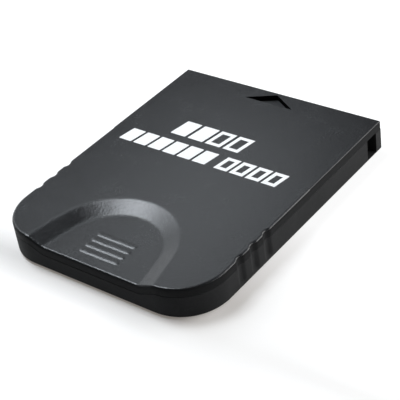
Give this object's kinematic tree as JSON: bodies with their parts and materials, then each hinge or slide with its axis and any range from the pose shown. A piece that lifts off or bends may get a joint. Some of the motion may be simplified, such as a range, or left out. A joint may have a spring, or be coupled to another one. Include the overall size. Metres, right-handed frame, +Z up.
{
  "type": "console memory card",
  "caption": "Flat moulded memory card for a games console, with a dished thumb recess and grip grooves at one end and an edge connector mouth with latch notches at the other.",
  "frame": {"origin": "middle of the underside", "axes": "+Z up from the underside, +Y towards the plug end with the connector mouth, +X across the card"},
  "size_m": [0.0406, 0.052, 0.0057],
  "materials": {
    "lid_plastic": "fine moulded grain",
    "tray_plastic": "fine moulded grain",
    "board_laminate": "solder mask",
    "contact_gilt": "gilded",
    "chip_resin": "moulded resin",
    "capacitor_ceramic": "ceramic",
    "resistor_ceramic": "ceramic"
  },
  "bodies": {
    "root": {"top_shell": "lid_plastic", "bottom_shell": "tray_plastic", "circuit_board": "board_laminate", "contact_01": "contact_gilt", "contact_02": "contact_gilt", "contact_03": "contact_gilt", "contact_04": "contact_gilt", "contact_05": "contact_gilt", "contact_06": "contact_gilt", "contact_07": "contact_gilt", "contact_08": "contact_gilt", "contact_09": "contact_gilt", "contact_10": "contact_gilt", "contact_11": "contact_gilt", "contact_12": "contact_gilt", "memory_chip": "chip_resin", "controller_chip": "chip_resin", "capacitor_1": "capacitor_ceramic", "capacitor_2": "capacitor_ceramic", "capacitor_3": "capacitor_ceramic", "capacitor_4": "capacitor_ceramic", "resistor_1": "resistor_ceramic", "resistor_2": "resistor_ceramic", "resistor_3": "resistor_ceramic", "resistor_4": "resistor_ceramic"}
  },
  "joints": []
}
